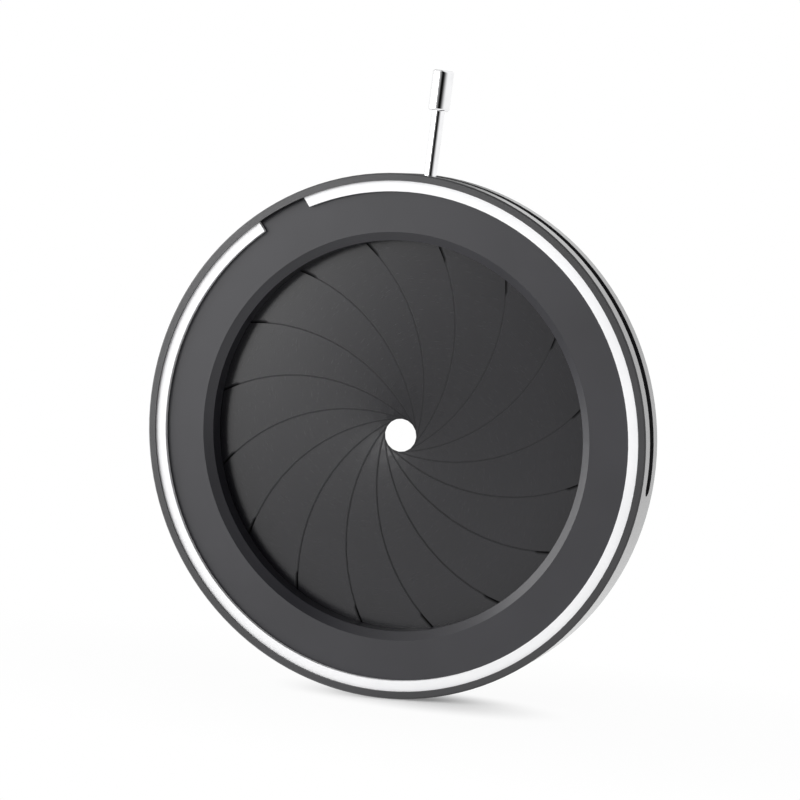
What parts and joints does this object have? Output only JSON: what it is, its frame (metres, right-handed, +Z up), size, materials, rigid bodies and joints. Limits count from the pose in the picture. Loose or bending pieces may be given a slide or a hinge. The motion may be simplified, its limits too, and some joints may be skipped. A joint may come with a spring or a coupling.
{
  "type": "iris diaphragm",
  "caption": "Round iris diaphragm: a thin ring housing with overlapping leaves that close to a small hole, set by a short lever with a knob through a slot in the rim.",
  "frame": {"origin": "on the optical axis, in the plane of the housing's rear face", "axes": "+Y along the optical axis out of the rear face, so the front with the snap ring and the drive ring looks towards -Y; +Z up, the lever's side; +X to the right as seen from the front"},
  "size_m": [0.07, 0.0062, 0.0835],
  "materials": {
    "housing": "black anodised, satin",
    "drive_ring": "black anodised, matt",
    "snap_ring": "bright zinc plated spring steel",
    "lever": "polished nickel plate",
    "leaf": "blackened spring steel, satin",
    "stud": "bright steel"
  },
  "bodies": {
    "housing": {"housing": "housing", "snap_ring": "snap_ring"},
    "ring": {"drive_ring": "drive_ring", "lever_rod": "lever", "lever_knob": "lever"},
    "leaf_01": {"leaf_01": "leaf", "studs_01": "stud"},
    "leaf_02": {"leaf_02": "leaf", "studs_02": "stud"},
    "leaf_03": {"leaf_03": "leaf", "studs_03": "stud"},
    "leaf_04": {"leaf_04": "leaf", "studs_04": "stud"},
    "leaf_05": {"leaf_05": "leaf", "studs_05": "stud"},
    "leaf_06": {"leaf_06": "leaf", "studs_06": "stud"},
    "leaf_07": {"leaf_07": "leaf", "studs_07": "stud"},
    "leaf_08": {"leaf_08": "leaf", "studs_08": "stud"},
    "leaf_09": {"leaf_09": "leaf", "studs_09": "stud"},
    "leaf_10": {"leaf_10": "leaf", "studs_10": "stud"},
    "leaf_11": {"leaf_11": "leaf", "studs_11": "stud"},
    "leaf_12": {"leaf_12": "leaf", "studs_12": "stud"},
    "leaf_13": {"leaf_13": "leaf", "studs_13": "stud"},
    "leaf_14": {"leaf_14": "leaf", "studs_14": "stud"},
    "leaf_15": {"leaf_15": "leaf", "studs_15": "stud"},
    "leaf_16": {"leaf_16": "leaf", "studs_16": "stud"}
  },
  "joints": [
    {"name": "lever_turn", "type": "hinge", "parent": "housing", "child": "ring", "pos_m": [0, -0.0036, 0], "axis": [0, 1, 0], "range_deg": [0, 89.4]},
    {"name": "leaf_01_swing", "type": "hinge", "parent": "housing", "child": "leaf_01", "pos_m": [-0.01957, -0.0005, -0.023], "axis": [0, 1, 0], "range_deg": [0, 44.98]},
    {"name": "leaf_02_swing", "type": "hinge", "parent": "housing", "child": "leaf_02", "pos_m": [-0.02688, -0.0005, -0.01376], "axis": [0, 1, 0], "range_deg": [0, 44.98]},
    {"name": "leaf_03_swing", "type": "hinge", "parent": "housing", "child": "leaf_03", "pos_m": [-0.0301, -0.0005, -0.00242], "axis": [0, 1, 0], "range_deg": [0, 44.98]},
    {"name": "leaf_04_swing", "type": "hinge", "parent": "housing", "child": "leaf_04", "pos_m": [-0.02874, -0.0005, 0.00928], "axis": [0, 1, 0], "range_deg": [0, 44.98]},
    {"name": "leaf_05_swing", "type": "hinge", "parent": "housing", "child": "leaf_05", "pos_m": [-0.023, -0.0005, 0.01957], "axis": [0, 1, 0], "range_deg": [0, 44.98]},
    {"name": "leaf_06_swing", "type": "hinge", "parent": "housing", "child": "leaf_06", "pos_m": [-0.01376, -0.0005, 0.02688], "axis": [0, 1, 0], "range_deg": [0, 44.98]},
    {"name": "leaf_07_swing", "type": "hinge", "parent": "housing", "child": "leaf_07", "pos_m": [-0.00242, -0.0005, 0.0301], "axis": [0, 1, 0], "range_deg": [0, 44.98]},
    {"name": "leaf_08_swing", "type": "hinge", "parent": "housing", "child": "leaf_08", "pos_m": [0.00928, -0.0005, 0.02874], "axis": [0, 1, 0], "range_deg": [0, 44.98]},
    {"name": "leaf_09_swing", "type": "hinge", "parent": "housing", "child": "leaf_09", "pos_m": [0.01957, -0.0005, 0.023], "axis": [0, 1, 0], "range_deg": [0, 44.98]},
    {"name": "leaf_10_swing", "type": "hinge", "parent": "housing", "child": "leaf_10", "pos_m": [0.02688, -0.0005, 0.01376], "axis": [0, 1, 0], "range_deg": [0, 44.98]},
    {"name": "leaf_11_swing", "type": "hinge", "parent": "housing", "child": "leaf_11", "pos_m": [0.0301, -0.0005, 0.00242], "axis": [0, 1, 0], "range_deg": [0, 44.98]},
    {"name": "leaf_12_swing", "type": "hinge", "parent": "housing", "child": "leaf_12", "pos_m": [0.02874, -0.0005, -0.00928], "axis": [0, 1, 0], "range_deg": [0, 44.98]},
    {"name": "leaf_13_swing", "type": "hinge", "parent": "housing", "child": "leaf_13", "pos_m": [0.023, -0.0005, -0.01957], "axis": [0, 1, 0], "range_deg": [0, 44.98]},
    {"name": "leaf_14_swing", "type": "hinge", "parent": "housing", "child": "leaf_14", "pos_m": [0.01376, -0.0005, -0.02688], "axis": [0, 1, 0], "range_deg": [0, 44.98]},
    {"name": "leaf_15_swing", "type": "hinge", "parent": "housing", "child": "leaf_15", "pos_m": [0.00242, -0.0005, -0.0301], "axis": [0, 1, 0], "range_deg": [0, 44.98]},
    {"name": "leaf_16_swing", "type": "hinge", "parent": "housing", "child": "leaf_16", "pos_m": [-0.00928, -0.0005, -0.02874], "axis": [0, 1, 0], "range_deg": [0, 44.98]}
  ],
  "couplings": [
    {"joint": "leaf_01_swing", "follows": "lever_turn", "ratio": 0.50315},
    {"joint": "leaf_02_swing", "follows": "lever_turn", "ratio": 0.50315},
    {"joint": "leaf_03_swing", "follows": "lever_turn", "ratio": 0.50315},
    {"joint": "leaf_04_swing", "follows": "lever_turn", "ratio": 0.50315},
    {"joint": "leaf_05_swing", "follows": "lever_turn", "ratio": 0.50315},
    {"joint": "leaf_06_swing", "follows": "lever_turn", "ratio": 0.50315},
    {"joint": "leaf_07_swing", "follows": "lever_turn", "ratio": 0.50315},
    {"joint": "leaf_08_swing", "follows": "lever_turn", "ratio": 0.50315},
    {"joint": "leaf_09_swing", "follows": "lever_turn", "ratio": 0.50315},
    {"joint": "leaf_10_swing", "follows": "lever_turn", "ratio": 0.50315},
    {"joint": "leaf_11_swing", "follows": "lever_turn", "ratio": 0.50315},
    {"joint": "leaf_12_swing", "follows": "lever_turn", "ratio": 0.50315},
    {"joint": "leaf_13_swing", "follows": "lever_turn", "ratio": 0.50315},
    {"joint": "leaf_14_swing", "follows": "lever_turn", "ratio": 0.50315},
    {"joint": "leaf_15_swing", "follows": "lever_turn", "ratio": 0.50315},
    {"joint": "leaf_16_swing", "follows": "lever_turn", "ratio": 0.50315}
  ]
}
